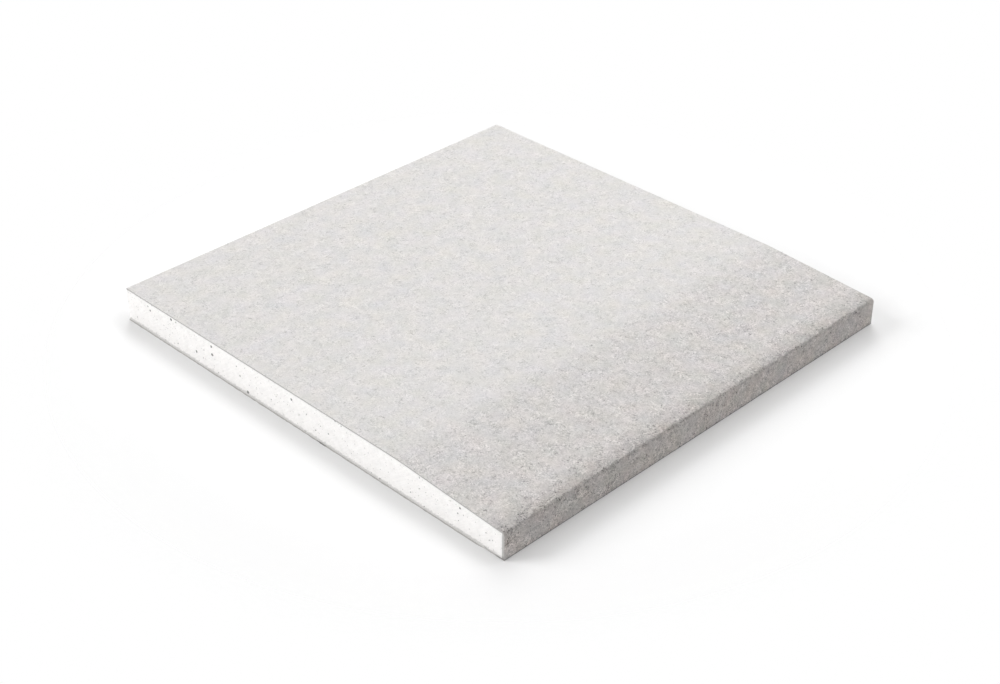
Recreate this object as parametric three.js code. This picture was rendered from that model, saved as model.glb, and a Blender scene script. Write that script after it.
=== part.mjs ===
// A square cut from a sheet of drywall, lying face up: a gypsum core between a face paper and a back paper.
// Millimetres, +Z up. X runs along the sheet's long factory edge and Y runs across the sheet, with the
// factory edge at -Y. The origin is on the floor, at the middle of the square.
//
// The factory edge is tapered and wrapped. The face paper follows the taper, folds down over the shoulder,
// folds under at the heel and ends as a flap that is bonded into the back of the core. The back paper laps
// over the flap and stops short of the edge. The strip of flap left bare is flush with the back paper, and the
// flap steps in by the thickness of that paper where it is lapped.
// The other three sides are cuts, which show the core between the two papers.

import * as THREE from "three";

// Overall size
const PIECE_LENGTH = 180; // along the factory edge
const PIECE_WIDTH = 184; // from the factory edge to the cut opposite
const BOARD_THICKNESS = 12.7; // both papers included

// Papers
const FACE_PAPER = 0.45; // over the face, the taper and the flap
const EDGE_PAPER = 0.9; // the same paper where it is crushed round the factory edge
const BACK_PAPER = 0.35;

// Tapered edge
const TAPER_WIDTH = 46;
const TAPER_DEPTH = 2.6; // how far the face has dropped where it reaches the edge
const TAPER_BLEND_RADIUS = 150; // eases the flat face into the taper

// Folds of the face paper round the factory edge
const SHOULDER_RADIUS = 1.2; // outside
const HEEL_RADIUS = 0.3; // outside
const BOND_RADIUS = 0.2; // inside both folds

// Underside, measured from the factory edge
const FLAP_WIDTH = 20; // how far the face paper turns under
const BACK_PAPER_SETBACK = 8; // where the back paper stops
const STEP_WIDTH = 1.5; // how gradually the flap steps in just before the back paper

const FOLD_SEGMENTS = 12; // chords in each rounded corner

const factoryY = -PIECE_WIDTH / 2;
const cutY = PIECE_WIDTH / 2;
const backPaperY = factoryY + BACK_PAPER_SETBACK;
const flapEndY = factoryY + FLAP_WIDTH;

// ---- sections, in the YZ plane: a Vector2 holds y and z ----

// Rounds a corner with an arc that touches both of its sides.
function fillet(before, corner, after, radius) {
  const back = before.clone().sub(corner).normalize();
  const ahead = after.clone().sub(corner).normalize();
  const halfAngle = back.angleTo(ahead) / 2;
  const toTouch = radius / Math.tan(halfAngle);
  const toCentre = radius / Math.sin(halfAngle);
  const centre = corner.clone().addScaledVector(back.clone().add(ahead).normalize(), toCentre);
  const start = corner.clone().addScaledVector(back, toTouch).sub(centre).angle();
  const end = corner.clone().addScaledVector(ahead, toTouch).sub(centre).angle();
  const clockwise = back.cross(ahead) > 0;
  const arc = new THREE.EllipseCurve(centre.x, centre.y, radius, radius, start, end, clockwise);
  return arc.getPoints(FOLD_SEGMENTS);
}

// One side of the face paper: from the cut over the face, down the factory edge and under to the flap's end.
function wrapLine({ faceZ, edgeY, stripZ, shoulderRadius, heelRadius }) {
  const cut = new THREE.Vector2(cutY, faceZ);
  const taperStart = new THREE.Vector2(factoryY + TAPER_WIDTH, faceZ);
  const drop = (TAPER_DEPTH * (taperStart.x - edgeY)) / TAPER_WIDTH;
  const shoulder = new THREE.Vector2(edgeY, faceZ - drop);
  const heel = new THREE.Vector2(edgeY, stripZ);
  const stripEnd = new THREE.Vector2(backPaperY - STEP_WIDTH, stripZ);
  const lapStart = new THREE.Vector2(backPaperY, stripZ + BACK_PAPER);
  const flapEnd = new THREE.Vector2(flapEndY, stripZ + BACK_PAPER);
  return [
    cut,
    ...fillet(cut, taperStart, shoulder, TAPER_BLEND_RADIUS),
    ...fillet(taperStart, shoulder, heel, shoulderRadius),
    ...fillet(shoulder, heel, stripEnd, heelRadius),
    stripEnd,
    lapStart,
    flapEnd,
  ];
}

const outerLine = wrapLine({
  faceZ: BOARD_THICKNESS,
  edgeY: factoryY,
  stripZ: 0,
  shoulderRadius: SHOULDER_RADIUS,
  heelRadius: HEEL_RADIUS,
});

// The bond between the face paper and the core, which both sections share.
const bondLine = wrapLine({
  faceZ: BOARD_THICKNESS - FACE_PAPER,
  edgeY: factoryY + EDGE_PAPER,
  stripZ: FACE_PAPER,
  shoulderRadius: BOND_RADIUS,
  heelRadius: BOND_RADIUS,
});

function gypsumCoreSection() {
  return [...bondLine, new THREE.Vector2(flapEndY, BACK_PAPER), new THREE.Vector2(cutY, BACK_PAPER)];
}

function facePaperSection() {
  return [...outerLine, ...bondLine.toReversed()];
}

function backPaperSection() {
  return [
    new THREE.Vector2(backPaperY, 0),
    new THREE.Vector2(cutY, 0),
    new THREE.Vector2(cutY, BACK_PAPER),
    new THREE.Vector2(backPaperY, BACK_PAPER),
  ];
}

// ---- solids ----

const X_AXIS = new THREE.Vector3(1, 0, 0);
const Y_AXIS = new THREE.Vector3(0, 1, 0);
const Z_AXIS = new THREE.Vector3(0, 0, 1);

// Runs a section along X, centred on the origin.
function runAlongX(section) {
  const shape = new THREE.Shape(section);
  const geometry = new THREE.ExtrudeGeometry(shape, { depth: PIECE_LENGTH, bevelEnabled: false });
  geometry.translate(0, 0, -PIECE_LENGTH / 2);
  return geometry.applyMatrix4(new THREE.Matrix4().makeBasis(Y_AXIS, Z_AXIS, X_AXIS));
}

function piece(name, section, look) {
  const material = new THREE.MeshStandardMaterial({ metalness: 0, ...look });
  const mesh = new THREE.Mesh(runAlongX(section), material);
  mesh.name = name;
  return mesh;
}

const drywall = new THREE.Group();
drywall.add(
  piece("gypsum_core", gypsumCoreSection(), { color: 0xf7f6f3, roughness: 0.95 }),
  piece("face_paper", facePaperSection(), { color: 0xdcdad7, roughness: 0.85 }),
  piece("back_paper", backPaperSection(), { color: 0xb9b3aa, roughness: 0.9 }),
);

export default drywall;
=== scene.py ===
"""The looks of a square cut from a tapered drywall sheet.

The gypsum core gets air pits with painted shade in its cut sides, and its two papers get fibres, folds, cut
plies, painted shade and light, and darker tones near the fold.
"""

import math

import bmesh
import bpy
import numpy as np
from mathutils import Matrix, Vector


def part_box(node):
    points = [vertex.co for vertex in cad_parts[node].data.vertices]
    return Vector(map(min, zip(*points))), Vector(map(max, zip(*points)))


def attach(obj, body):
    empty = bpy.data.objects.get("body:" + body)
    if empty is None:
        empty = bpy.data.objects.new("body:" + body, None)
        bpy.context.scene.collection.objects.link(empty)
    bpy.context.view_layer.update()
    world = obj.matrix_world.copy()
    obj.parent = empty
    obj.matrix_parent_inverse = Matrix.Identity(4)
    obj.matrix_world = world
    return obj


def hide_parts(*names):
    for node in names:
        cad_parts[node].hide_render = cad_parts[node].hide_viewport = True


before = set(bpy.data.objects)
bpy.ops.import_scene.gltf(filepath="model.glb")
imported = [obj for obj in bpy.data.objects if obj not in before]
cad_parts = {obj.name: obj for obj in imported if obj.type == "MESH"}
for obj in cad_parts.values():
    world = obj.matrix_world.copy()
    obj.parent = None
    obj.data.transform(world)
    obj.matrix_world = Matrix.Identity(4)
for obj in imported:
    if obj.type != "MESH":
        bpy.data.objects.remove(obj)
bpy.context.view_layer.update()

MM = 0.001  # meshes are in metres, and the patterns of the materials are drawn in millimetres

# ---- places read from the frame ----

face_low, face_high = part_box("face_paper")
core_low, core_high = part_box("gypsum_core")
back_low, back_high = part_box("back_paper")
left_end, right_end = face_low.x, face_high.x
factory_edge, cut_side = face_low.y, face_high.y

# ---- how finely the meshes are divided ----

FACE_CELL = 1.0 * MM
BACK_CELL = 6.0 * MM
CORE_CELL = 0.3 * MM
FIBRES_CELL = 5.0 * MM  # of the surface that the loose fibres are scattered over
WELD = 0.001 * MM
ROW_DECIMALS = 5  # of a metre, so that rows of the core that are within 0.01 mm become one

# ---- attributes and material slots that the meshes carry ----

ON_SHEET = "on_sheet"  # millimetres along a sheet of paper, across it from its fold, and into its depth
FROM_PAPER = "from_paper"  # metres from a place on the cut sides of the core to the nearest paper, or 0
PIT = "pit"  # 1 in the bottom of an air pit, and 0 outside
TONE = "tone"  # from 0 for a dark loose fibre to 1 for a light one
OUTSIDE, CUT = 0, 1  # the two material slots of a sheet of paper

# ---- face paper ----
# Places across it are millimetres from its fold: positive up the taper and over the face, and negative down
# the factory edge and on under the board.

FACE_COLOUR = (0.681, 0.665, 0.653)
# The taper's two colours are darker than the face's: painted shade of the taper, which tilts away from the
# light.
TAPER_COLOUR = (0.625, 0.605, 0.594)
LOWER_TAPER_COLOUR = (0.600, 0.577, 0.564)
EDGE_COLOUR = (0.555, 0.523, 0.504)
FLAP_COLOUR = (0.62, 0.603, 0.59)
FACE_CONTRAST, TAPER_CONTRAST, LOWER_CONTRAST, EDGE_CONTRAST = 0.143, 0.220, 0.25, 0.40  # of its fibres
SHADE_START, SHADE_END, SHADE = 72.0, 50.0, (1.0, 0.977)  # where the face darkens a little
TAPER_START, TAPER_END = 52.0, 39.5  # where the taper's painted shade sets in
LOWER_START, LOWER_END = 38.0, 16.0  # where it darkens again, more gradually
FOLD_DARK_START, FOLD_DARK_END, FOLD_DARK_FALL = 9.0, 1.0, 1.25  # where the paper gets darker and coarser towards the fold, and how fast that sets in
FOLD_DARKEST = (0.745, 0.734, 0.723)  # how much of the colour is left at the fold
FOLD_DARK_LEFT, FOLD_DARK_RIGHT = 1.15, 0.8  # how strong that darkening is towards either end of the edge
FOLD_START, FOLD_END = -0.1, -0.8  # where the edge's tone sets in
FOLD_STRAY, FOLD_WAVE = 4.5, 2.5  # how widely that line strays, and over what length
CRUMPLE_REACH, CRUMPLE_DEPTH, CRUMPLE_SIZE = 2.5, 0.8, 1.2  # the dents along the fold
EDGE_TOP, EDGE_PAINTED_LIGHT = -1.0, (0.95, 1.10)  # painted light: from its top to its foot the edge's colour gets lighter, to make up for the dimmer light from the shaded floor
HEEL_START, HEEL_END = -9.25, -9.75  # where the painted shade at its foot sets in
HEEL_SHADE = (0.42, 0.42, 0.43)  # painted shade along the foot, where it meets the floor: what it leaves of the colour
HEEL_RAGGED = 0.8  # over what length the outline of that painted shade strays
FLAP_START, FLAP_END = -11.0, -13.0  # under the board, where the paper has its plain colour again
FIBRE_RELIEF = 0.02

# ---- cut papers ----

FACE_CUT_COLOUR = (0.466, 0.456, 0.442)
EDGE_CUT_COLOUR = (0.486, 0.471, 0.461)
LAPPED_CUT_COLOUR = (0.70, 0.69, 0.67)  # where the back paper laps the flap
BACK_CUT_COLOUR = (0.72, 0.71, 0.69)
# The outer ply's darker colour is partly its own and partly painted shade: with its lip it draws the dark
# contact line along the foot of the cuts.
OUTER_PLY_COLOUR = (0.563, 0.553, 0.539)
EDGE_CUT_START, EDGE_CUT_END = 2.0, -1.0  # from the fold, where the edge's colour sets in
LAP_START, LAP_END = -17.5, -18.5  # from the fold, round the heel and under
HEEL_CUT, CUT_FOOT_SHADE = -11.0, 0.45  # from the fold, where the cut's painted shade by the floor is darkest, and how much darker that is
CUT_SHADE_START, CUT_SHADE_END = 3.0, 1.0  # to either side of that place
PLY_FLATNESS, PLY_CONTRAST, PLY_RELIEF = 12, 0.6, 0.05  # of the plies that the knife cut through
OUTER_PLY = 0.05 * MM  # of the back paper
ABOVE_PLY, IN_PLY = 1.4, 1.1  # in thicknesses of that ply, where its colour starts and is full
TORN_LIP = (0.35 * MM, 0.55 * MM)  # how far it stands out from the cuts
TEAR_ENDS = 3 * MM  # over what length the tear dies out towards the factory edge
TEAR_STEP = 1.2 * MM
TEAR_SEED = 3

# ---- back paper ----

BACK_COLOUR = (0.36, 0.33, 0.29)
BACK_CONTRAST = 0.16
BACK_RELIEF = 0.03

# ---- gypsum ----

GYPSUM_COLOUR = (0.954, 0.938, 0.925)
GYPSUM_RELIEF = 0.06
MOTTLE, FINE_MOTTLE, WIDE_MOTTLE = 0.16, 0.7, 2.5  # how much the tone changes, and over what two lengths
KNIFE_SLOPE = math.radians(37)  # of the streaks that the knife dragged over the cuts
KNIFE_STREAKS, STREAK_WIDTH = 0.20, 0.6
KNIFE_DRAG = 8.0  # how many times longer than wide they are
BY_PAPER, PAPER_SHADE = 0.7 * MM, 0.12  # how near the papers the core is darker, and by how much
# A darker band along the foot of the cuts, by the back paper.
FOOT_BAND_COLOUR = (0.77, 0.755, 0.74)
FOOT_BAND_START, FOOT_BAND_END, FOOT_BAND_STRAY = 1.5, 0.8, 1.5  # above the floor, and how widely that line strays
GRIT_SIZE = 0.7
# Painted shade in the air pits, and in the spots that stand for pits too small for the mesh.
PIT_SHADE_COLOUR = (0.07, 0.068, 0.065)
PIT_RIM, PIT_FLOOR, PIT_DEPTH = 1.1, 0.6, 0.9  # in radii: its wall's start and end, and its depth
PIT_RAGGED = 0.8 * MM  # over what length its outline strays
NO_PITS, ALL_PITS = 0.2 * MM, 0.8 * MM  # from the papers, where pits start and where they are whole
LARGE_PITS = {"Density": 2.5e3, "Apart": 8 * MM, "Smallest": 0.35 * MM, "Largest": 0.55 * MM, "Seed": 4}
SMALL_PITS = {"Density": 1.2e4, "Apart": 2.5 * MM, "Smallest": 0.2 * MM, "Largest": 0.35 * MM, "Seed": 9}
GYPSUM_SPOTS = (  # spacing, radius, share of cells with a spot, how many more by the back paper, and the strength of its painted shade
    (0.9, 0.25, 0.15, 0.3, 0.35),
    (2.0, 0.40, 0.10, 0.4, 0.60),
    (4.5, 0.75, 0.25, 0.0, 0.80),
)
SPOTS_MORE, SPOTS_MOST = 2.4, 0.9  # above the floor, where they start to be more and are most
SPOT_STRAY, SPOT_RAGGED = 0.5, 0.4  # how widely their outline strays, and over what length
SPOT_DEPTH = 2  # in the heights of the mottle

# ---- loose fibres ----

DARK_FIBRE = (0.28, 0.27, 0.26)
LIGHT_FIBRE = (0.72, 0.70, 0.68)
FIBRES_FOOT = 1.0 * MM  # how high above the floor they start on the factory edge
FACE_FIBRES = {"Density": 1.2e5, "Longest": 1.6, "Thickness": 0.06 * MM, "Seed": 2}
FIBRE_LENGTH = 1.0 * MM  # of the one that is copied, which the shortest and the longest are shares of
SHORTEST_FIBRE = 0.4
LEAST_BEND, MOST_BEND = 0.2, 1.0
FIBRE_TILT = 0.1  # radians out of the surface
FIBRE_STEPS, FIBRE_SIDES = 4, 3


# ---- node trees ----


def connect(tree, node, inputs):
    """Links the inputs that are given as sockets, and sets the others."""
    for name, value in inputs.items():
        if isinstance(value, bpy.types.NodeSocket):
            tree.links.new(value, node.inputs[name])
        else:
            node.inputs[name].default_value = value


def add(tree, kind, inputs, **settings):
    """A new node."""
    node = tree.nodes.new(kind)
    for name, value in settings.items():
        setattr(node, name, value)
    connect(tree, node, inputs)
    return node


def made_by(tree, kind, inputs, **settings):
    """The first output of a new node."""
    return add(tree, kind, inputs, **settings).outputs[0]


def maths(tree, operation, *values):
    """The result of a Math node."""
    return made_by(tree, "ShaderNodeMath", dict(enumerate(values)), operation=operation)


def total(tree, *values):
    """The sum of several values."""
    result = values[0]
    for value in values[1:]:
        result = maths(tree, "ADD", result, value)
    return result


def scaled(tree, vector, value):
    """A vector or colour times a value."""
    return made_by(tree, "ShaderNodeVectorMath", {0: vector, "Scale": value}, operation="SCALE")


def vectors(tree, operation, first, second):
    """The result of a Vector Math node."""
    return made_by(tree, "ShaderNodeVectorMath", {0: first, 1: second}, operation=operation)


def distance_between(tree, first, second):
    """How far apart two places are."""
    return add(tree, "ShaderNodeVectorMath", {0: first, 1: second}, operation="DISTANCE").outputs["Value"]


def parts_of(tree, vector):
    """A vector's X, Y and Z."""
    return add(tree, "ShaderNodeSeparateXYZ", {0: vector}).outputs


def ramp(tree, value, start, end, low=0.0, high=1.0):
    """Goes smoothly from low to high as a value goes from start to end."""
    inputs = dict(enumerate((value, start, end, low, high)))
    return made_by(tree, "ShaderNodeMapRange", inputs, interpolation_type="SMOOTHSTEP")


MIX_FIRST, MIX_SECOND, MIXED = 6, 7, 2  # the sockets of a Mix node that hold colours


def blend(tree, factor, first, second):
    """The first colour where the factor is 0, and the second where it is 1."""
    inputs = {0: factor}
    for socket, colour in ((MIX_FIRST, first), (MIX_SECOND, second)):
        inputs[socket] = colour if isinstance(colour, bpy.types.NodeSocket) else (*colour, 1)
    return add(tree, "ShaderNodeMix", inputs, data_type="RGBA").outputs[MIXED]


def noise(tree, place, size, detail=2.0, roughness=0.5):
    """Noise from about -0.5 to 0.5, with features of that size in the units of the place."""
    inputs = {"Vector": place, "Scale": 1 / size, "Detail": detail, "Roughness": roughness}
    return maths(tree, "SUBTRACT", made_by(tree, "ShaderNodeTexNoise", inputs), 0.5)


def colour_noise(tree, place, size, detail=2.0):
    """Noise in each part of a vector or colour, from about -0.5 to 0.5."""
    inputs = {"Vector": place, "Scale": 1 / size, "Detail": detail}
    colour = add(tree, "ShaderNodeTexNoise", inputs).outputs["Color"]
    return vectors(tree, "SUBTRACT", colour, (0.5, 0.5, 0.5))


def turned_by(tree, vector, angle):
    """A vector turned about Z."""
    inputs = {"Vector": vector, "Angle": angle}
    return made_by(tree, "ShaderNodeVectorRotate", inputs, rotation_type="Z_AXIS")


def group(name, kind, inputs, outputs):
    """A new node group with named sockets, the values it is given, and the node that takes its results."""
    tree = bpy.data.node_groups.new(name, kind)
    for direction, sockets in (("INPUT", inputs), ("OUTPUT", outputs)):
        for socket, holds in sockets.items():
            tree.interface.new_socket(socket, in_out=direction, socket_type="NodeSocket" + holds)
    return tree, tree.nodes.new("NodeGroupInput").outputs, tree.nodes.new("NodeGroupOutput")


def placed(tree, shared, inputs):
    """The outputs of a shared group, placed in a tree with its own values."""
    node = add(tree, "ShaderNodeGroup", {}, node_tree=shared)
    connect(tree, node, inputs)
    return node.outputs


# ---- effects that several materials share ----


def scattered_cells(tree, given, **settings):
    """The scale of a pattern of cells at the given spacing, the cells, and three random values for each."""
    scale = maths(tree, "DIVIDE", 1, given["Spacing"])
    inputs = {"Vector": given["Place"], "Scale": scale}
    cells = add(tree, "ShaderNodeTexVoronoi", inputs, **settings).outputs
    chances = add(tree, "ShaderNodeSeparateColor", {0: cells["Color"]}).outputs
    return scale, cells, chances


def fibre_strokes():
    """Short bent strokes, one in each cell of a flat pattern, each turned its own way."""
    inputs = {"Place": "Vector", "Spacing": "Float", "Width": "Float"}
    outputs = {"Stroke": "Float", "Tone": "Float"}
    tree, given, result = group("fibre_strokes", "ShaderNodeTree", inputs, outputs)
    scale, cells, chance = scattered_cells(tree, given, voronoi_dimensions="2D")
    from_centre = vectors(tree, "SUBTRACT", given["Place"], cells["Position"])
    angle = maths(tree, "MULTIPLY", chance["Red"], math.pi)
    along, across, _ = parts_of(tree, turned_by(tree, from_centre, angle))
    bend = maths(tree, "MULTIPLY", maths(tree, "SUBTRACT", chance["Green"], 0.5), scale)
    bent = maths(tree, "MULTIPLY_ADD", maths(tree, "MULTIPLY", along, along), bend, across)
    narrow = ramp(tree, maths(tree, "ABSOLUTE", bent), given["Width"], 0.0)
    half_length = maths(tree, "MULTIPLY", given["Spacing"], 0.5)
    short = ramp(tree, maths(tree, "ABSOLUTE", along), half_length, 0.0)
    connect(tree, result, {"Stroke": maths(tree, "MULTIPLY", narrow, short), "Tone": chance["Blue"]})
    return tree


PULP_STROKES = (  # spacing, width and strength of each layer of strokes in the pulp
    (0.5, 0.18, 1.0),
    (0.8, 0.24, 1.2),
    (1.3, 0.30, 1.3),
    (2.1, 0.34, 1.2),
    (3.4, 0.38, 0.8),
)
LAYER_SHIFT = (17, 31, 0)  # in cells, so that the cells of two layers don't line up
GRAIN, GRAIN_SIZE = 2.9, 0.5
FLOCS, FLOC_SIZE = 3.0, 2.8
LIGHTEST_PULP, LEVELLING = 0.9, 1.0  # where the lightest fibres level off, and how gradually
PATCH_SIZE, PATCH_LIMIT = 5, 0.2  # patches where the contrast is lower or higher
PATCH_CONTRAST = (0.6, 1.4)
CLOUDS, CLOUD_SIZE = 0.13, 8.0  # how much the tone changes from one cloud to the next, and over what length
RED_TINT, BLUE_TINT, TINT_SIZE = 0.33, 0.097, 8.0  # the same for the hue, whose red follows the contrast
DARKEST_TONE = 0.2


def paper_pulp(strokes):
    """The fibres, grain, flocs, clouds and tints of recycled paper. Tone is what multiplies its colour."""
    inputs = {"Place": "Vector", "Contrast": "Float"}
    outputs = {"Tone": "Vector", "Height": "Float"}
    tree, given, result = group("paper_pulp", "ShaderNodeTree", inputs, outputs)
    place = given["Place"]
    layers = []
    for spacing, width, strength in PULP_STROKES:
        shifted = vectors(tree, "ADD", place, [cells * spacing for cells in LAYER_SHIFT])
        layer = placed(tree, strokes, {"Place": shifted, "Spacing": spacing, "Width": width})
        tone = maths(tree, "MULTIPLY_ADD", layer["Tone"], 2 * strength, -strength)
        layers.append(maths(tree, "MULTIPLY", layer["Stroke"], tone))
    fibres = total(tree, *layers)
    grain = maths(tree, "MULTIPLY", noise(tree, place, GRAIN_SIZE, roughness=0.7), GRAIN)
    flocs = maths(tree, "MULTIPLY", noise(tree, place, FLOC_SIZE, detail=4, roughness=0.8), FLOCS)
    raised = maths(tree, "SMOOTH_MIN", total(tree, fibres, grain, flocs), LIGHTEST_PULP, LEVELLING)
    patchy = noise(tree, place, PATCH_SIZE, detail=1)
    patches = ramp(tree, patchy, -PATCH_LIMIT, PATCH_LIMIT, *PATCH_CONTRAST)
    mottle = maths(tree, "MULTIPLY", maths(tree, "MULTIPLY", raised, patches), given["Contrast"])
    clouds = maths(tree, "MULTIPLY", noise(tree, place, CLOUD_SIZE), CLOUDS)
    tone = maths(tree, "MAXIMUM", total(tree, 1, mottle, clouds), DARKEST_TONE)
    red = maths(tree, "MULTIPLY", given["Contrast"], RED_TINT)
    tints = made_by(tree, "ShaderNodeCombineXYZ", {"X": red, "Z": BLUE_TINT})
    tinted = vectors(tree, "MULTIPLY", colour_noise(tree, place, TINT_SIZE, detail=1), tints)
    connect(tree, result, {"Tone": vectors(tree, "ADD", tinted, tone), "Height": raised})
    return tree


SMALLEST_FLECK = 0.3  # as a share of the largest
FLECK_MIDDLE = 0.7  # the share of a fleck's radius where it is at its darkest


def flecks():
    """Scattered round flecks, each of its own size. Share is how many cells of the pattern hold one."""
    inputs = {"Place": "Vector", "Spacing": "Float", "Radius": "Float", "Share": "Float"}
    tree, given, result = group("flecks", "ShaderNodeTree", inputs, {"Mask": "Float"})
    _, cells, chance = scattered_cells(tree, given)
    distance = maths(tree, "MULTIPLY", cells["Distance"], given["Spacing"])
    size = ramp(tree, chance["Green"], 0.0, 1.0, SMALLEST_FLECK, 1.0)
    radius = maths(tree, "MULTIPLY", given["Radius"], size)
    kept = maths(tree, "LESS_THAN", chance["Red"], given["Share"])
    spot = ramp(tree, distance, radius, maths(tree, "MULTIPLY", radius, FLECK_MIDDLE))
    connect(tree, result, {"Mask": maths(tree, "MULTIPLY", kept, spot)})
    return tree


# ---- materials ----

MATT_SPECULAR = 0.2


def matt(name, roughness):
    """A new matt material, its tree and its shader."""
    material = bpy.data.materials.new(name)
    material.use_nodes = True
    shader = material.node_tree.nodes["Principled BSDF"]
    shader.inputs["Roughness"].default_value = roughness
    shader.inputs["Specular IOR Level"].default_value = MATT_SPECULAR
    return material, material.node_tree, shader


def finish_with(tree, shader, colour, height, depth):
    """Gives a shader its colour and, from a height, relief of that depth in millimetres."""
    bump = made_by(tree, "ShaderNodeBump", {"Height": height, "Distance": depth * MM, "Strength": 1.0})
    connect(tree, shader, {"Base Color": colour, "Normal": bump})


def attribute(tree, name, output="Fac"):
    """One of the attributes that a mesh carries, as a material reads it."""
    return add(tree, "ShaderNodeAttribute", {}, attribute_name=name).outputs[output]


def face_paper(pulp):
    """Ivory-grey paper: darker down the taper as painted shade, and coarser there; darker and coarser towards
    the fold, and dark on the factory edge, painted lighter towards its foot and with painted shade along the
    foot itself; plain again under the board."""
    material, tree, shader = matt("face_paper", roughness=0.9)
    sheet = attribute(tree, ON_SHEET, "Vector")
    along, from_fold, _ = parts_of(tree, sheet)
    stray = noise(tree, sheet, FOLD_WAVE, detail=4, roughness=0.75)
    strayed = maths(tree, "MULTIPLY_ADD", stray, FOLD_STRAY, from_fold)
    on_edge = ramp(tree, strayed, FOLD_START, FOLD_END)
    on_taper = ramp(tree, from_fold, TAPER_START, TAPER_END)
    on_lower = ramp(tree, from_fold, LOWER_START, LOWER_END)
    on_flap = ramp(tree, from_fold, FLAP_START, FLAP_END)
    nearness = made_by(tree, "ShaderNodeMapRange", {0: strayed, 1: FOLD_DARK_START, 2: FOLD_DARK_END})
    towards_end = ramp(tree, along, left_end / MM, right_end / MM, FOLD_DARK_LEFT, FOLD_DARK_RIGHT)
    fold_darkening = maths(tree, "MULTIPLY", maths(tree, "POWER", nearness, FOLD_DARK_FALL), towards_end)
    fold_tone = blend(tree, fold_darkening, (1, 1, 1), FOLD_DARKEST)
    # Painted shade along the foot of the factory edge, where it meets the floor.
    painted_foot_shade = ramp(tree, maths(tree, "ADD", noise(tree, sheet, HEEL_RAGGED), from_fold), HEEL_START, HEEL_END)
    painted_heel_shade = blend(tree, painted_foot_shade, (1, 1, 1), HEEL_SHADE)
    by_fold = ramp(tree, maths(tree, "ABSOLUTE", from_fold), CRUMPLE_REACH, 0.0)
    dents = maths(tree, "MULTIPLY", noise(tree, sheet, CRUMPLE_SIZE, detail=3, roughness=0.6), by_fold)
    contrast = maths(tree, "MULTIPLY_ADD", on_taper, TAPER_CONTRAST - FACE_CONTRAST, FACE_CONTRAST)
    contrast = maths(tree, "MULTIPLY_ADD", on_lower, LOWER_CONTRAST - TAPER_CONTRAST, contrast)
    contrast = maths(tree, "MULTIPLY_ADD", fold_darkening, EDGE_CONTRAST - LOWER_CONTRAST, contrast)
    contrast = maths(tree, "MULTIPLY_ADD", on_flap, FACE_CONTRAST - EDGE_CONTRAST, contrast)
    fibres = placed(tree, pulp, {"Place": sheet, "Contrast": contrast})
    face_colour = scaled(tree, FACE_COLOUR, ramp(tree, from_fold, SHADE_START, SHADE_END, *SHADE))
    # Painted shade down the taper, which tilts away from the light.
    taper_colour = blend(tree, on_lower, TAPER_COLOUR, LOWER_TAPER_COLOUR)
    colour = vectors(tree, "MULTIPLY", blend(tree, on_taper, face_colour, taper_colour), fold_tone)
    # Painted light: the edge gets lighter towards its foot.
    edge_colour = scaled(tree, EDGE_COLOUR, ramp(tree, from_fold, EDGE_TOP, HEEL_START, *EDGE_PAINTED_LIGHT))
    colour = vectors(tree, "MULTIPLY", blend(tree, on_edge, colour, edge_colour), painted_heel_shade)
    colour = blend(tree, on_flap, colour, FLAP_COLOUR)
    raised = maths(tree, "MULTIPLY", fibres["Height"], FIBRE_RELIEF)
    height = maths(tree, "MULTIPLY_ADD", dents, CRUMPLE_DEPTH, raised)
    finish_with(tree, shader, vectors(tree, "MULTIPLY", colour, fibres["Tone"]), height, 1.0)
    return material


def cut_paper(name, colour, outer_colour, edge_colour=None, lapped_colour=None):
    """The plies of a sheet of paper where it is cut. The outer ply has its own colour, and the others may
    have one on the factory edge and one on the lapped flap."""
    material, tree, shader = matt(name, roughness=0.95)
    sheet = attribute(tree, ON_SHEET, "Vector")
    _, from_fold, depth = parts_of(tree, sheet)
    on_edge = ramp(tree, from_fold, EDGE_CUT_START, EDGE_CUT_END)
    lapped = ramp(tree, from_fold, LAP_START, LAP_END)
    outer = ramp(tree, depth, ABOVE_PLY * OUTER_PLY / MM, IN_PLY * OUTER_PLY / MM)
    plies = noise(tree, vectors(tree, "MULTIPLY", sheet, (1, 1, PLY_FLATNESS)), 1.0, detail=3)
    folded_colour = blend(tree, lapped, edge_colour or colour, lapped_colour or colour)
    inner_colour = blend(tree, on_edge, colour, folded_colour)
    # Painted shade on the cut plies by the heel, where they meet the floor.
    from_heel = maths(tree, "ABSOLUTE", maths(tree, "SUBTRACT", from_fold, HEEL_CUT))
    painted_foot_shade = ramp(tree, from_heel, CUT_SHADE_START, CUT_SHADE_END, 0.0, CUT_FOOT_SHADE)
    tone = maths(tree, "MULTIPLY_ADD", plies, PLY_CONTRAST, maths(tree, "SUBTRACT", 1, painted_foot_shade))
    colour = scaled(tree, blend(tree, outer, inner_colour, outer_colour), tone)
    finish_with(tree, shader, colour, plies, PLY_RELIEF)
    return material


def back_paper(pulp):
    """Coarse grey-brown liner."""
    material, tree, shader = matt("back_paper", roughness=0.92)
    sheet = attribute(tree, ON_SHEET, "Vector")
    fibres = placed(tree, pulp, {"Place": sheet, "Contrast": BACK_CONTRAST})
    colour = vectors(tree, "MULTIPLY", fibres["Tone"], BACK_COLOUR)
    finish_with(tree, shader, colour, fibres["Height"], BACK_RELIEF)
    return material


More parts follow.
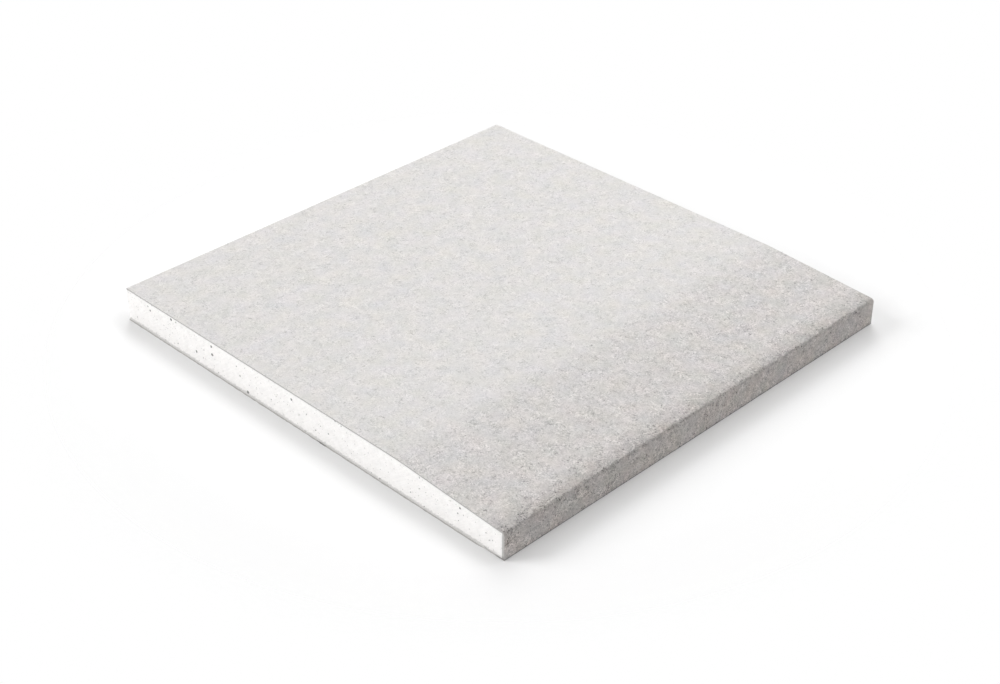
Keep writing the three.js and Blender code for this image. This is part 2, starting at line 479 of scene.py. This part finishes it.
def gypsum(spots):
    """Nearly white set gypsum, with air pits and spots darkened by painted shade, a knife's streaks, and a
    darker band along the back paper.
    """
    material, tree, shader = matt("gypsum", roughness=0.95)
    place = scaled(tree, add(tree, "ShaderNodeTexCoord", {}).outputs["Object"], 1 / MM)
    x, y, z = parts_of(tree, place)
    ragged = vectors(tree, "ADD", place, scaled(tree, colour_noise(tree, place, SPOT_RAGGED), SPOT_STRAY))
    near_back = ramp(tree, z, SPOTS_MORE, SPOTS_MOST)
    # The pits and spots, which get painted shade.
    shaded_holes = attribute(tree, PIT)
    for spacing, radius, share, more, strength in GYPSUM_SPOTS:
        share = maths(tree, "MULTIPLY_ADD", near_back, more, share)
        inputs = {"Place": ragged, "Spacing": spacing, "Radius": radius, "Share": share}
        mask = maths(tree, "MULTIPLY", placed(tree, spots, inputs)["Mask"], strength)
        shaded_holes = maths(tree, "MAXIMUM", shaded_holes, mask)
    on_cut = made_by(tree, "ShaderNodeCombineXYZ", {"X": maths(tree, "ADD", x, y), "Y": z})
    dragged = vectors(tree, "MULTIPLY", turned_by(tree, on_cut, KNIFE_SLOPE), (1 / KNIFE_DRAG, 1, 1))
    streaks = noise(tree, dragged, STREAK_WIDTH, detail=3, roughness=0.7)
    by_paper = ramp(tree, attribute(tree, FROM_PAPER), BY_PAPER, 0.0)
    fine_mottle = noise(tree, place, FINE_MOTTLE, detail=3, roughness=0.8)
    mottle = total(tree, fine_mottle, noise(tree, place, WIDE_MOTTLE))
    grit = maths(tree, "ADD", noise(tree, place, GRIT_SIZE, detail=3, roughness=0.7), streaks)
    foot_band = maths(tree, "MULTIPLY_ADD", grit, FOOT_BAND_STRAY, z)
    tones = (maths(tree, "MULTIPLY", mottle, MOTTLE), maths(tree, "MULTIPLY", streaks, KNIFE_STREAKS))
    tone = maths(tree, "MULTIPLY_ADD", by_paper, -PAPER_SHADE, total(tree, 1, *tones))
    colour = blend(tree, ramp(tree, foot_band, FOOT_BAND_START, FOOT_BAND_END), GYPSUM_COLOUR, FOOT_BAND_COLOUR)
    colour = scaled(tree, blend(tree, shaded_holes, colour, PIT_SHADE_COLOUR), tone)
    height = total(tree, mottle, streaks, maths(tree, "MULTIPLY", shaded_holes, -SPOT_DEPTH))
    finish_with(tree, shader, colour, height, GYPSUM_RELIEF)
    return material


def loose_fibre():
    """Paper fibres, each with its own tone."""
    material, tree, shader = matt("face_fibre", roughness=0.9)
    connect(tree, shader, {"Base Color": blend(tree, attribute(tree, TONE), DARK_FIBRE, LIGHT_FIBRE)})
    return material


# ---- Geometry Nodes ----


def random_value(tree, low, high, seed):
    """A random number for each element."""
    return add(tree, "FunctionNodeRandomValue", {2: low, 3: high, "Seed": seed}).outputs[1]


def named_value(tree, name):
    """One of the attributes that a mesh carries, as Geometry Nodes read it."""
    return made_by(tree, "GeometryNodeInputNamedAttribute", {"Name": name}, data_type="FLOAT")


def finished(tree, geometry, material):
    """The real mesh of a tree's result, in its material."""
    real = made_by(tree, "GeometryNodeRealizeInstances", {"Geometry": geometry})
    return made_by(tree, "GeometryNodeSetMaterial", {"Geometry": real, "Material": material})


def air_pits():
    """Sinks round pits into the cut sides of a finely divided core, and marks them with an attribute."""
    inputs = {
        "Geometry": "Geometry", "Density": "Float", "Apart": "Float", "Smallest": "Float", "Largest": "Float",
        "Seed": "Int", "Material": "Material",
    }
    tree, given, result = group("air_pits", "GeometryNodeTree", inputs, {"Geometry": "Geometry"})
    from_paper = named_value(tree, FROM_PAPER)
    spread = made_by(tree, "GeometryNodeDistributePointsOnFaces", {
        "Mesh": given["Geometry"], "Selection": maths(tree, "GREATER_THAN", from_paper, WELD),
        "Distance Min": given["Apart"], "Density Max": given["Density"], "Seed": given["Seed"],
    }, distribute_method="POISSON")
    place = made_by(tree, "GeometryNodeInputPosition", {})
    stray = scaled(tree, colour_noise(tree, place, PIT_RAGGED), given["Largest"])
    near = vectors(tree, "ADD", place, stray)
    nearest = made_by(tree, "GeometryNodeSampleNearest", {"Geometry": spread, "Sample Position": near})
    centre = made_by(tree, "GeometryNodeSampleIndex", {
        "Geometry": spread, "Value": place, "Index": nearest,
    }, data_type="FLOAT_VECTOR")
    radii = random_value(tree, given["Smallest"], given["Largest"], given["Seed"])
    radius = made_by(tree, "GeometryNodeSampleIndex", {
        "Geometry": spread, "Value": radii, "Index": nearest,
    }, data_type="FLOAT")
    away = maths(tree, "DIVIDE", distance_between(tree, near, centre), radius)
    clear = ramp(tree, from_paper, NO_PITS, ALL_PITS)
    pit = maths(tree, "MULTIPLY", ramp(tree, away, PIT_RIM, PIT_FLOOR), clear)
    depth = maths(tree, "MULTIPLY", maths(tree, "MULTIPLY", pit, radius), -PIT_DEPTH)
    inwards = scaled(tree, made_by(tree, "GeometryNodeInputNormal", {}), depth)
    sunk = made_by(tree, "GeometryNodeSetPosition", {"Geometry": given["Geometry"], "Offset": inwards})
    marked = made_by(tree, "GeometryNodeStoreNamedAttribute", {
        "Geometry": sunk, "Name": PIT, "Value": maths(tree, "MAXIMUM", named_value(tree, PIT), pit),
    }, data_type="FLOAT")
    connect(tree, result, {"Geometry": finished(tree, marked, given["Material"])})
    return tree


def loose_fibres():
    """Short bent fibres scattered flat over a surface, which is itself left out."""
    inputs = {
        "Geometry": "Geometry", "Density": "Float", "Longest": "Float", "Thickness": "Float", "Seed": "Int",
        "Material": "Material",
    }
    tree, given, result = group("loose_fibres", "GeometryNodeTree", inputs, {"Geometry": "Geometry"})
    half = FIBRE_LENGTH / 2
    line = made_by(tree, "GeometryNodeCurveQuadraticBezier", {
        "Resolution": FIBRE_STEPS, "Start": (-half, 0, 0), "Middle": (0, half, 0), "End": (half, 0, 0),
    })
    ring = made_by(tree, "GeometryNodeCurvePrimitiveCircle", {
        "Resolution": FIBRE_SIDES, "Radius": given["Thickness"],
    })
    fibre = made_by(tree, "GeometryNodeCurveToMesh", {
        "Curve": line, "Profile Curve": ring, "Fill Caps": True,
    })
    spread = add(tree, "GeometryNodeDistributePointsOnFaces", {
        "Mesh": given["Geometry"], "Density": given["Density"], "Seed": given["Seed"],
    }).outputs
    spin = random_value(tree, 0.0, 2 * math.pi, seed=1)
    tilt = random_value(tree, -FIBRE_TILT, FIBRE_TILT, seed=2)
    length = random_value(tree, SHORTEST_FIBRE, given["Longest"], seed=3)
    bend = random_value(tree, LEAST_BEND, MOST_BEND, seed=4)
    turn = made_by(tree, "ShaderNodeCombineXYZ", {"Y": tilt, "Z": spin})
    facing = made_by(tree, "FunctionNodeRotateRotation", {
        "Rotation": spread["Rotation"], "Rotate By": turn,
    }, rotation_space="LOCAL")
    size = made_by(tree, "ShaderNodeCombineXYZ", {"X": length, "Y": bend, "Z": 1.0})
    copies = made_by(tree, "GeometryNodeInstanceOnPoints", {
        "Points": spread["Points"], "Instance": fibre, "Rotation": facing, "Scale": size,
    })
    toned = made_by(tree, "GeometryNodeStoreNamedAttribute", {
        "Geometry": copies, "Name": TONE, "Value": random_value(tree, 0.0, 1.0, seed=5),
    }, data_type="FLOAT", domain="INSTANCE")
    connect(tree, result, {"Geometry": finished(tree, toned, given["Material"])})
    return tree


def grown(piece, name, tree, values):
    """A plain piece made by running a Geometry Nodes tree on another, which it takes the place of."""
    modifier = piece.modifiers.new(tree.name, "NODES")
    modifier.node_group = tree
    sockets = {item.name: item.identifier for item in tree.interface.items_tree if item.in_out == "INPUT"}
    for socket, value in values.items():
        modifier[sockets[socket]] = value
    graph = bpy.context.evaluated_depsgraph_get()
    mesh = bpy.data.meshes.new_from_object(piece.evaluated_get(graph))
    bpy.data.meshes.remove(piece.data)
    mesh.name = name
    return shown(mesh)


# ---- mesh building ----


def section(node):
    """A CAD node's section as (y, z) places, from the top of the cut side towards the factory edge."""
    solid = bmesh.new()
    solid.from_mesh(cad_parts[node].data)
    bmesh.ops.remove_doubles(solid, verts=solid.verts, dist=WELD)
    solid.normal_update()
    left_faces = [face for face in solid.faces if round(face.normal.x) == -1]
    cap = bmesh.ops.dissolve_faces(solid, faces=left_faces)["region"][0]
    outline = np.array([(vert.co.y, vert.co.z) for vert in cap.verts])
    solid.free()
    outline = np.roll(outline, -np.argmax(outline.sum(1)), axis=0)
    runs_down_first = abs(outline[1, 0] - outline[0, 0]) < WELD
    return np.roll(outline[::-1], 1, axis=0) if runs_down_first else outline


def divided(lines, step):
    """Lines of equally many points, divided alike so that the first has no stretch longer than step."""
    lengths = np.hypot(*np.diff(lines[0], axis=0).T)
    counts = [max(1, math.ceil(length / step)) for length in lengths]
    starts = [i + np.arange(count) / count for i, count in enumerate(counts)]
    at = np.append(np.concatenate(starts), len(lengths))
    known = np.arange(len(lengths) + 1)
    return [np.stack([np.interp(at, known, line[:, axis]) for axis in (0, 1)], 1) for line in lines]


def evenly(low, high, step):
    """Values from low to high, no further than step apart."""
    return np.linspace(low, high, math.ceil((high - low) / step) + 1)


def spread_along_x(line, xs):
    """The places of a (y, z) line repeated at each x: rows follow the line and columns follow x."""
    places = np.empty((len(line), len(xs), 3))
    places[..., 0] = xs
    places[..., 1:] = line[:, None]
    return places


class MeshMaker:
    """Collects grids of vertices and the faces between them, and joins them into one mesh."""

    def __init__(self):
        self.places = []
        self.labels = []
        self.count = 0
        self.faces = []
        self.materials = []

    def grid(self, places, labels=None):
        """Adds the vertices of a grid and returns their numbers in the same rows and columns."""
        numbers = np.arange(self.count, self.count + places[..., 0].size)
        self.places.append(places.reshape(-1, 3))
        self.labels.append((np.zeros_like(places) if labels is None else labels).reshape(-1, 3))
        self.count += numbers.size
        return numbers.reshape(places.shape[:2])

    def cells(self, numbers, material=0):
        """Fills a grid with quads."""
        corners = (numbers[:-1, :-1], numbers[:-1, 1:], numbers[1:, 1:], numbers[1:, :-1])
        quads = np.stack([corner.ravel() for corner in corners], 1).tolist()
        self.faces += quads
        self.materials += [material] * len(quads)

    def polygon(self, numbers, material=0):
        """Adds one face round a ring of vertices."""
        self.faces.append([int(number) for number in numbers])
        self.materials.append(material)

    def mesh(self, name, label_name=None):
        """The finished mesh, with shared vertices welded and every face pointing out."""
        mesh = bpy.data.meshes.new(name)
        mesh.from_pydata(np.concatenate(self.places).tolist(), [], self.faces)
        mesh.polygons.foreach_set("material_index", self.materials)
        if label_name:
            labels = mesh.attributes.new(label_name, "FLOAT_VECTOR", "POINT")
            labels.data.foreach_set("vector", np.concatenate(self.labels).ravel())
        solid = bmesh.new()
        solid.from_mesh(mesh)
        bmesh.ops.remove_doubles(solid, verts=solid.verts, dist=WELD)
        bmesh.ops.recalc_face_normals(solid, faces=solid.faces)
        solid.to_mesh(mesh)
        solid.free()
        return mesh


def shown(mesh, *materials):
    """A new object that shows a mesh in those materials."""
    for material in materials:
        mesh.materials.append(material)
    piece = bpy.data.objects.new(mesh.name, mesh)
    bpy.context.scene.collection.objects.link(piece)
    return piece


# ---- papers ----


def fold_place(line, lengths):
    """How far along a line its outermost corner lies, between the taper and the factory edge."""
    return lengths[(line[:, 1] - line[:, 0]).argmax()]


def labels_on(line, xs, depth):
    """What ON_SHEET holds on a grid that follows a line."""
    lengths = np.append(0, np.cumsum(np.hypot(*np.diff(line, axis=0).T)))
    labels = np.empty((len(line), len(xs), 3))
    labels[..., 0] = xs
    labels[..., 1] = (fold_place(line, lengths) - lengths)[:, None]
    labels[..., 2] = depth
    return labels / MM


def add_sheet(maker, outer, inner, step, depth=0.0):
    """A closed sheet between two lines of its section: finely divided outside, plain where it is glued."""
    xs = evenly(left_end, right_end, step)
    outer, inner = divided([outer, inner], step)
    thickness = np.hypot(*(outer - inner).T).max()
    labels = labels_on(outer, xs, depth)
    inner_labels = labels[:, [0, -1]] + [0, 0, thickness / MM]
    seen = maker.grid(spread_along_x(outer, xs), labels)
    glued = maker.grid(spread_along_x(inner, xs[[0, -1]]), inner_labels)
    maker.cells(seen, OUTSIDE)
    maker.cells(glued, OUTSIDE)
    for end in (0, -1):
        maker.cells(np.stack([seen[:, end], glued[:, end]], 1), CUT)
        maker.polygon([*seen[end], *glued[end, ::-1]], CUT)


def face_outlines():
    """The outer and the inner line of the face paper's section, from the cut side to the flap's end."""
    outline = section("face_paper")
    half = len(outline) // 2
    return outline[:half], outline[:half - 1:-1]


def face_sheet(paper, cut):
    """The face paper: over the face and the taper, round the factory edge and under."""
    maker = MeshMaker()
    add_sheet(maker, *face_outlines(), FACE_CELL)
    piece = shown(maker.mesh("face_sheet", ON_SHEET), paper, cut)
    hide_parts("face_paper")
    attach(piece, "root")


def face_fibres(tree, material):
    """The fibres that stand loose on the face paper."""
    outer, _ = face_outlines()
    above_foot = outer[outer[:, 1] > FIBRES_FOOT]
    [line] = divided([np.vstack([above_foot, (factory_edge, FIBRES_FOOT)])], FIBRES_CELL)
    maker = MeshMaker()
    maker.cells(maker.grid(spread_along_x(line, evenly(left_end, right_end, FIBRES_CELL))))
    ground = shown(maker.mesh("face_fibres_ground"))
    piece = grown(ground, "face_fibres", tree, {**FACE_FIBRES, "Material": material})
    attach(piece, "root")


def torn_outline():
    """The outline of the back paper's outer ply, which stands out from the three cuts in a ragged lip."""
    chance = np.random.default_rng(TEAR_SEED)
    near, far = back_low.y, cut_side
    corners = np.array([(right_end, near), (right_end, far), (left_end, far), (left_end, near)])
    sides = []
    for start, end, out in zip(corners, corners[1:], ((1, 0), (0, 1), (-1, 0))):
        share = evenly(0, 1, TEAR_STEP / np.hypot(*(end - start)))[:, None]
        edge = start + share * (end - start)
        lip = chance.uniform(*TORN_LIP, share.shape) * np.clip((edge[:, 1:] - near) / TEAR_ENDS, 0, 1)
        sides.append(edge + lip * np.array(out))
    return np.concatenate(sides)


def add_torn_ply(maker):
    """The outer ply of the back paper, which was torn and not cut."""
    outline = torn_outline()
    places = np.zeros((2, len(outline), 3))
    places[..., :2] = outline
    places[1, :, 2] = OUTER_PLY
    ring = maker.grid(places, places / MM)
    maker.cells(np.concatenate([ring, ring[:, :1]], 1), CUT)
    maker.polygon(ring[0], OUTSIDE)
    maker.polygon(ring[1], CUT)


def back_sheet(paper, cut):
    """The back paper, flat under the core."""
    ys = np.array([back_high.y, back_low.y])
    outer = np.stack([ys, np.full(2, OUTER_PLY / 2)], 1)  # inside the outer ply
    inner = np.stack([ys, np.full(2, back_high.z)], 1)
    maker = MeshMaker()
    add_sheet(maker, outer, inner, BACK_CELL, OUTER_PLY)
    add_torn_ply(maker)
    piece = shown(maker.mesh("back_sheet", ON_SHEET), paper, cut)
    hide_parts("back_paper")
    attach(piece, "root")


# ---- core ----


class CoreSection:
    """The gypsum core's section, between the face paper that is wrapped round it and its flat back."""

    def __init__(self):
        self.bond = section("gypsum_core")[:-2]
        turn = self.bond[:, 0].argmin()
        self.top = self.bond[turn::-1]
        self.under = self.bond[turn + 1:]

    def heights(self, ys):
        """Its lowest and its highest place at each y."""
        flap_end = self.under[-1, 0]
        low = np.where(ys > flap_end + WELD, core_low.z, np.interp(ys, *self.under.T))
        return low, np.interp(ys, *self.top.T)

    def rows(self):
        """The places across it where its mesh is divided, with its own corners among them."""
        ys = np.concatenate([evenly(core_low.y, cut_side, CORE_CELL), self.bond[:, 0]])
        return np.unique(ys.round(ROW_DECIMALS))[::-1]


def core_mesh(core):
    """The core, finely divided on its three cut sides and plain under the papers."""
    ys = core.rows()
    low, high = core.heights(ys)
    shares = evenly(0, 1, CORE_CELL / (core_high.z - core_low.z))
    zs = low[:, None] + (high - low)[:, None] * shares
    maker = MeshMaker()
    end_places = np.stack([np.empty_like(zs), np.repeat(ys[:, None], len(shares), 1), zs], 2)
    ends = []
    for x in (left_end, right_end):
        end_places[..., 0] = x
        ends.append(maker.grid(end_places.copy()))
    left, right = ends
    side_line = np.stack([np.full(len(shares), cut_side), zs[0]], 1)
    side = maker.grid(spread_along_x(side_line, evenly(left_end, right_end, CORE_CELL))).T
    for grid in (left, right, side):
        maker.cells(grid)
    for row in (0, -1):
        maker.cells(np.stack([left[1:, row], right[1:, row]], 1))
        maker.polygon([*side[:, row], right[1, row], left[1, row]])
    maker.cells(np.stack([left[-1], right[-1]], 1))
    return maker.mesh("core_block")


def label_core(mesh, core):
    """Gives the core's mesh its FROM_PAPER values."""
    places = np.empty(len(mesh.vertices) * 3, np.float32)
    mesh.vertices.foreach_get("co", places)
    x, y, z = places.reshape(-1, 3).T
    on_cut = (abs(x) > right_end - WELD) | (y > cut_side - WELD)
    low, high = core.heights(y)
    nearest = np.minimum.reduce([z - low, high - z, y - core_low.y])
    from_paper = np.where(on_cut, nearest, 0)
    mesh.attributes.new(FROM_PAPER, "FLOAT", "POINT").data.foreach_set("value", from_paper)


def core_block(tree, material):
    """The gypsum core, with air pits in its cut sides."""
    core = CoreSection()
    mesh = core_mesh(core)
    label_core(mesh, core)
    piece = shown(mesh)
    for values in (LARGE_PITS, SMALL_PITS):
        piece = grown(piece, "core_block", tree, {**values, "Material": material})
    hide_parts("gypsum_core")
    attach(piece, "root")


# ---- studio ----

LENS = 64.76  # millimetres
CAMERA_PLACE = (-373.2, -373.9, 334.9)  # millimetres
CAMERA_YAW = 44.95  # degrees clockwise from +Y
CAMERA_PITCH = 33.02  # degrees below the horizon

FLOOR_COLOUR = (0.91, 0.91, 0.91, 1)
FLOOR_SIZE = 1.4  # metres
FADE_START, FADE_END = 0.125, 0.17  # metres from its middle, where the floor fades into the backdrop
NEAR, FAR = 1.8, 4.0  # metres to the softboxes behind the board and right of it, and to those left of it
SOFTBOX_SIZE = 0.48  # as a share of its distance
SOFTBOXES = (  # azimuth clockwise from +Y, elevation, distance, and the light that it gives in W/m2
    (45, 32, NEAR, 0.80),
    (45, 58, NEAR, 0.72),
    (90, 58, NEAR, 0.51),
    (135, 58, NEAR, 0.89),
    (180, 45, NEAR, 0.40),
    (270, 20, FAR, 0.71),
    (315, 32, FAR, 1.92),
)


def camera():
    """Looks down on the corner between the left cut end and the factory edge."""
    data = bpy.data.cameras.new("camera")
    data.lens = LENS
    eye = bpy.data.objects.new("camera", data)
    eye.location = [MM * value for value in CAMERA_PLACE]
    eye.rotation_euler = (math.radians(90 - CAMERA_PITCH), 0, math.radians(-CAMERA_YAW))
    bpy.context.scene.collection.objects.link(eye)
    bpy.context.scene.camera = eye


def softbox(azimuth, elevation, distance, irradiance):
    """A square area light that faces the board. Its irradiance is for a surface that faces it squarely."""
    data = bpy.data.lights.new("softbox", "AREA")
    data.size = SOFTBOX_SIZE * distance
    data.energy = irradiance * math.pi * distance**2
    lamp = bpy.data.objects.new("softbox", data)
    turn, rise = math.radians(azimuth), math.radians(elevation)
    across = distance * math.cos(rise)
    lamp.location = (across * math.sin(turn), across * math.cos(turn), distance * math.sin(rise))
    lamp.rotation_euler = (math.pi / 2 - rise, 0, math.pi - turn)
    bpy.context.scene.collection.objects.link(lamp)


def studio_floor():
    """Plain and pale. To the camera it fades into the backdrop, but it still lights the board there."""
    material, tree, shader = matt("studio_floor", roughness=0.95)
    place = add(tree, "ShaderNodeTexCoord", {}).outputs["Object"]
    seen = add(tree, "ShaderNodeLightPath", {}).outputs["Is Camera Ray"]
    from_middle = maths(tree, "MULTIPLY", distance_between(tree, place, (0, 0, 0)), seen)
    solidity = ramp(tree, from_middle, FADE_START, FADE_END, 1.0, 0.0)
    connect(tree, shader, {"Base Color": FLOOR_COLOUR, "Alpha": solidity})
    return material


def floor():
    """A level floor, which reaches well past the part of it that is seen."""
    mesh = bpy.data.meshes.new("floor")
    half = FLOOR_SIZE / 2
    corners = [(-half, -half, 0), (half, -half, 0), (half, half, 0), (-half, half, 0)]
    mesh.from_pydata(corners, [], [(0, 1, 2, 3)])
    shown(mesh, studio_floor())


def backdrop():
    """A white surround that is seen but gives no light."""
    sky = bpy.data.worlds.new("backdrop")
    sky.use_nodes = True
    tree = sky.node_tree
    seen = add(tree, "ShaderNodeLightPath", {}).outputs["Is Camera Ray"]
    connect(tree, tree.nodes["Background"], {"Strength": seen, "Color": (1, 1, 1, 1)})
    bpy.context.scene.world = sky


# ---- the whole scene ----

bpy.context.scene.view_settings.view_transform = "Standard"
camera()
backdrop()
floor()
for place in SOFTBOXES:
    softbox(*place)

pulp = paper_pulp(fibre_strokes())
core_block(air_pits(), gypsum(flecks()))
face_sheet(face_paper(pulp), cut_paper(
    "face_paper_cut", FACE_CUT_COLOUR, FACE_CUT_COLOUR, EDGE_CUT_COLOUR, LAPPED_CUT_COLOUR))
face_fibres(loose_fibres(), loose_fibre())
back_sheet(back_paper(pulp), cut_paper("back_paper_cut", BACK_CUT_COLOUR, OUTER_PLY_COLOUR))
